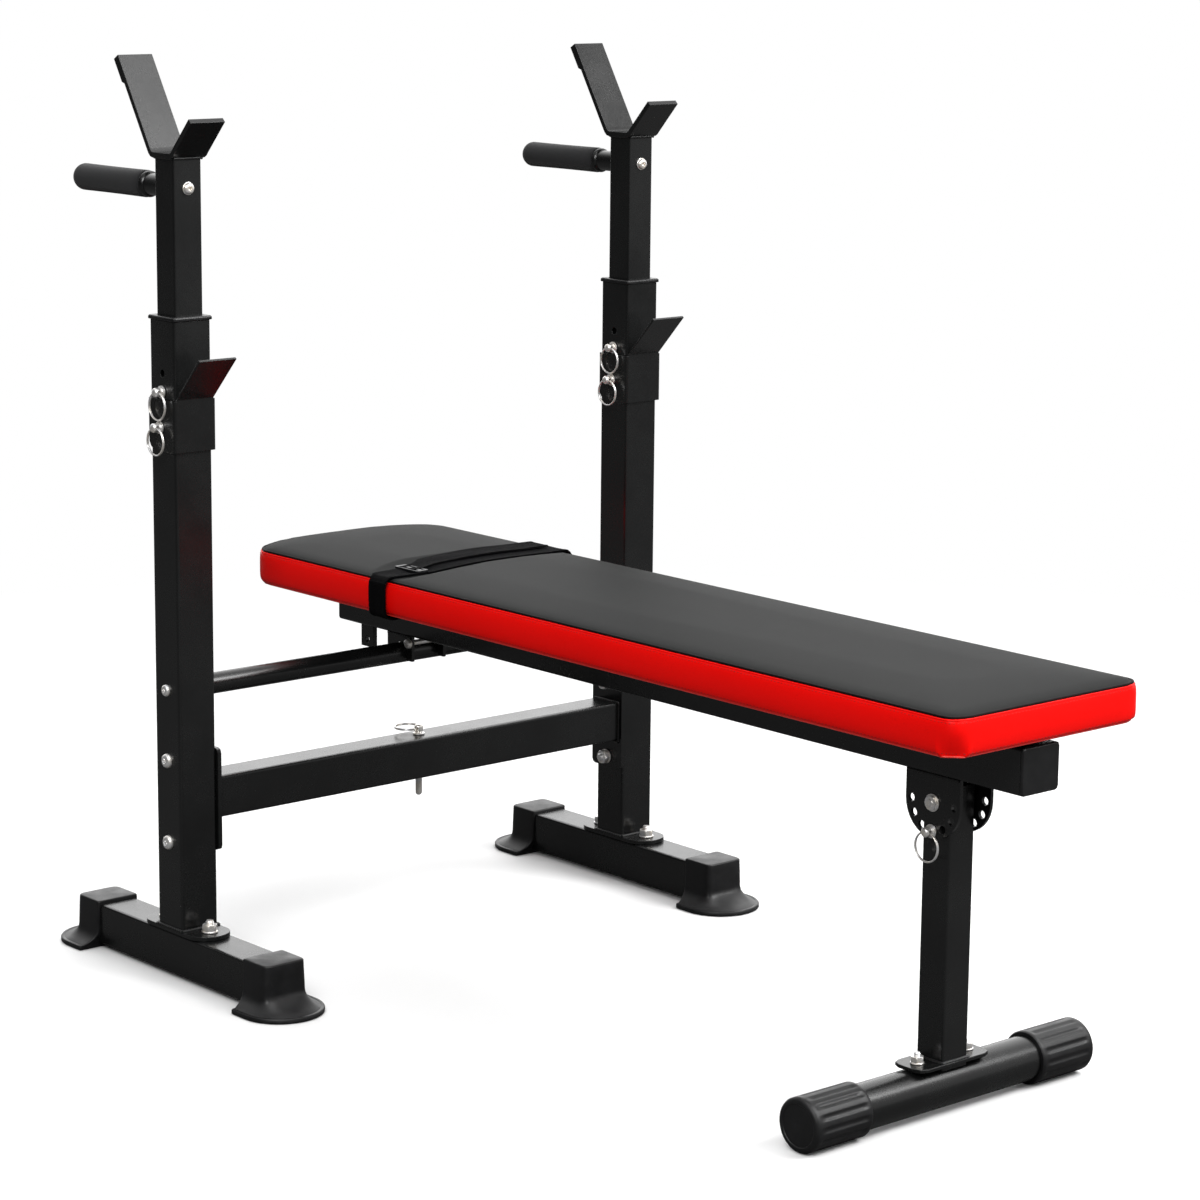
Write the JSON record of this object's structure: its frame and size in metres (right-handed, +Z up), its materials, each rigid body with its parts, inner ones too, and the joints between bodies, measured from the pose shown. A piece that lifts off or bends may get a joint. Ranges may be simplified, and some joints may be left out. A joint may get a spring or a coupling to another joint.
{
  "type": "olympic bench press",
  "caption": "Free-standing bar rack with height-adjustable hook posts, bar catches and dip handles, with a flat padded bench on a folding front leg.",
  "frame": {"origin": "middle of the footprint's bounding box, on the floor", "axes": "+X across the rack, to the right seen from the foot end of the bench; +Y from the bench's foot end towards its head end; +Z up"},
  "size_m": [0.776, 1.257, 1.0612],
  "materials": {
    "powder_coat": "satin black powder coat",
    "zinc": "bright zinc plate",
    "rubber": "matt moulded",
    "plastic": "moulded",
    "foam": "closed cell foam",
    "vinyl": "soft vinyl, dark top with red side band",
    "board": "raw board",
    "webbing": "woven webbing"
  },
  "bodies": {
    "rack": {"foot_left": "powder_coat", "upright_left": "powder_coat", "collar_left": "plastic", "catch_left": "powder_coat", "crossbar_bolt_left": "zinc", "beam_bolt_left_lower": "zinc", "beam_bolt_left_upper": "zinc", "boot_left_front": "rubber", "flange_bolt_left_front": "zinc", "boot_left_rear": "rubber", "flange_bolt_left_rear": "zinc", "foot_right": "powder_coat", "upright_right": "powder_coat", "collar_right": "plastic", "catch_right": "powder_coat", "crossbar_bolt_right": "zinc", "beam_bolt_right_lower": "zinc", "beam_bolt_right_upper": "zinc", "boot_right_front": "rubber", "flange_bolt_right_front": "zinc", "boot_right_rear": "rubber", "flange_bolt_right_rear": "zinc", "crossbeam": "powder_coat", "crossbar": "powder_coat"},
    "sliding_post_left": {"post_left": "powder_coat", "handle_left": "powder_coat", "handle_bolt_left": "zinc", "grip_left": "foam"},
    "sliding_post_right": {"post_right": "powder_coat", "handle_right": "powder_coat", "handle_bolt_right": "zinc", "grip_right": "foam"},
    "post_lock_left": {"post_pin_left": "zinc"},
    "post_pull_left": {"post_ring_left": "zinc"},
    "post_lock_right": {"post_pin_right": "zinc"},
    "post_pull_right": {"post_ring_right": "zinc"},
    "catch_lock_left": {"catch_pin_left": "zinc"},
    "catch_pull_left": {"catch_ring_left": "zinc"},
    "catch_lock_right": {"catch_pin_right": "zinc"},
    "catch_pull_right": {"catch_ring_right": "zinc"},
    "beam_lock": {"beam_pin": "zinc"},
    "beam_pull": {"beam_ring": "zinc"},
    "bench": {"pad": "vinyl", "pad_board": "board", "underframe": "powder_coat", "underframe_cap_front": "plastic", "underframe_cap_rear": "plastic", "pivot_bolt": "zinc", "saddle_bolt": "zinc", "strap": "webbing", "strap_buckle": "zinc"},
    "front_leg": {"leg": "powder_coat", "stabiliser": "powder_coat", "stabiliser_cap_left": "rubber", "stabiliser_cap_right": "rubber", "leg_bolt_left": "zinc", "leg_bolt_right": "zinc"},
    "leg_lock": {"leg_pin": "zinc"},
    "leg_pull": {"leg_ring": "zinc"}
  },
  "joints": [
    {"name": "post_left_height", "type": "slide", "parent": "rack", "child": "sliding_post_left", "axis": [0, 0, 1], "range_m": [0, 0.24]},
    {"name": "post_right_height", "type": "slide", "parent": "rack", "child": "sliding_post_right", "axis": [0, 0, 1], "range_m": [0, 0.24]},
    {"name": "post_pin_left_pull", "type": "slide", "parent": "rack", "child": "post_lock_left", "axis": [-1, 0, 0], "range_m": [0, 0.08]},
    {"name": "post_ring_left_swing", "type": "hinge", "parent": "post_lock_left", "child": "post_pull_left", "pos_m": [-0.3705, 0.3955, 0.688], "axis": [0, 1, 0], "range_deg": [0, 60]},
    {"name": "post_pin_right_pull", "type": "slide", "parent": "rack", "child": "post_lock_right", "axis": [-1, 0, 0], "range_m": [0, 0.08]},
    {"name": "post_ring_right_swing", "type": "hinge", "parent": "post_lock_right", "child": "post_pull_right", "pos_m": [0.3055, 0.3955, 0.688], "axis": [0, 1, 0], "range_deg": [0, 60]},
    {"name": "catch_pin_left_pull", "type": "slide", "parent": "rack", "child": "catch_lock_left", "axis": [-1, 0, 0], "range_m": [0, 0.08]},
    {"name": "catch_ring_left_swing", "type": "hinge", "parent": "catch_lock_left", "child": "catch_pull_left", "pos_m": [-0.3735, 0.3955, 0.648], "axis": [0, 1, 0], "range_deg": [0, 60]},
    {"name": "catch_pin_right_pull", "type": "slide", "parent": "rack", "child": "catch_lock_right", "axis": [-1, 0, 0], "range_m": [0, 0.08]},
    {"name": "catch_ring_right_swing", "type": "hinge", "parent": "catch_lock_right", "child": "catch_pull_right", "pos_m": [0.3025, 0.3955, 0.648], "axis": [0, 1, 0], "range_deg": [0, 60]},
    {"name": "beam_pin_pull", "type": "slide", "parent": "rack", "child": "beam_lock", "axis": [0, 0, 1], "range_m": [0, 0.077]},
    {"name": "beam_ring_swing", "type": "hinge", "parent": "beam_lock", "child": "beam_pull", "pos_m": [0.003, 0.3955, 0.2442], "axis": [0.9368, 0.3499, 0], "range_deg": [0, 15]},
    {"name": "bench_tilt", "type": "hinge", "parent": "rack", "child": "bench", "pos_m": [0, 0.3955, 0.343], "axis": [-1, 0, 0], "range_deg": [0, 30]},
    {"name": "leg_fold", "type": "hinge", "parent": "bench", "child": "front_leg", "pos_m": [0, -0.4925, 0.335], "axis": [1, 0, 0], "range_deg": [0, 88]},
    {"name": "leg_pin_pull", "type": "slide", "parent": "bench", "child": "leg_lock", "axis": [-1, 0, 0], "range_m": [0, 0.03]},
    {"name": "leg_ring_swing", "type": "hinge", "parent": "leg_lock", "child": "leg_pull", "pos_m": [-0.0322, -0.4925, 0.305], "axis": [0, 1, 0], "range_deg": [0, 60]}
  ]
}
